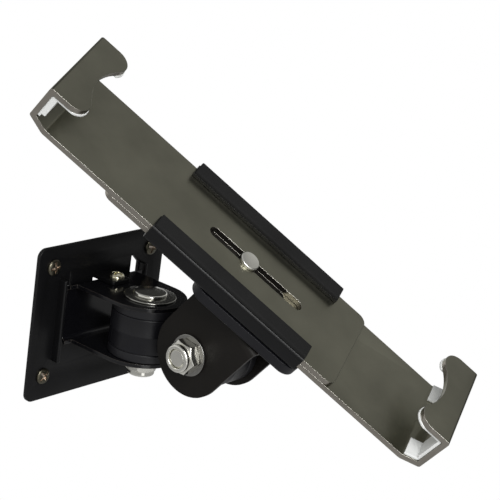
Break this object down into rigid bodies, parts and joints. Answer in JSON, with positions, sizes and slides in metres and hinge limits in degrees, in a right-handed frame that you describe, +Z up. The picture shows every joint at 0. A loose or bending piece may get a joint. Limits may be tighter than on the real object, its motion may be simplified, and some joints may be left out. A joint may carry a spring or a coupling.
{
  "type": "tablet wall mount",
  "caption": "Black wall mount with a swivel and tilt arm and two sliding corner jaws that hold a small tablet.",
  "frame": {"origin": "centre of the four wall screws' pattern, on the back face of the wall plate", "axes": "+X along the wall to the right as seen from the room, +Y into the wall, +Z up"},
  "size_m": [0.139, 0.1797, 0.1622],
  "materials": {
    "plate_black": "matte powder coat",
    "bracket_black": "gloss paint",
    "casting_black": "satin paint",
    "zinc": "bright zinc plating",
    "screw_steel": "dull nickel",
    "nylon_black": "satin",
    "jaw_chrome": "dark satin",
    "lining_white": "soft foam",
    "cushion_black": "soft foam"
  },
  "bodies": {
    "wall": {"wall_plate": "plate_black", "wall_screws": "screw_steel", "bracket_lock_screw": "zinc", "swivel_bracket": "bracket_black", "swivel_bolt": "zinc", "swivel_head_washer": "zinc", "swivel_nut_washer": "zinc", "swivel_lock_nut": "zinc", "swivel_ring_head_side": "nylon_black", "swivel_ring_nut_side": "nylon_black"},
    "knuckle": {"knuckle": "casting_black"},
    "holder": {"tilt_bracket": "bracket_black", "tilt_bracket_screws": "zinc", "holder_base": "casting_black", "holder_sleeve": "plate_black", "arm_stop_pin": "zinc", "tilt_bolt": "zinc", "tilt_head_washer": "zinc", "tilt_nut_washer": "zinc", "tilt_lock_nut": "zinc", "tilt_ring_head_side": "nylon_black", "tilt_ring_nut_side": "nylon_black", "arm_clamp_screw_upper": "zinc", "arm_clamp_screw_lower": "zinc", "sleeve_cushion_left": "cushion_black", "sleeve_cushion_right": "cushion_black"},
    "upper_jaw": {"upper_jaw": "jaw_chrome", "upper_jaw_pad_left": "lining_white", "upper_jaw_pad_right": "lining_white"},
    "lower_jaw": {"lower_jaw": "jaw_chrome", "lower_jaw_pad_left": "lining_white", "lower_jaw_pad_right": "lining_white"}
  },
  "joints": [
    {"name": "swivel", "type": "hinge", "parent": "wall", "child": "knuckle", "pos_m": [0, -0.0313, 0.0028], "axis": [0, 0, 1], "range_deg": [-60, 60]},
    {"name": "tilt", "type": "hinge", "parent": "knuckle", "child": "holder", "pos_m": [0, -0.0686, 0.0053], "axis": [-1, 0, 0], "range_deg": [-75, 15]},
    {"name": "upper_slide", "type": "slide", "parent": "holder", "child": "upper_jaw", "axis": [-0.4602, 0.69, 0.5587], "range_m": [-0.018, 0.026]},
    {"name": "lower_slide", "type": "slide", "parent": "holder", "child": "lower_jaw", "axis": [0.4602, -0.69, -0.5587], "range_m": [-0.018, 0.026]}
  ]
}
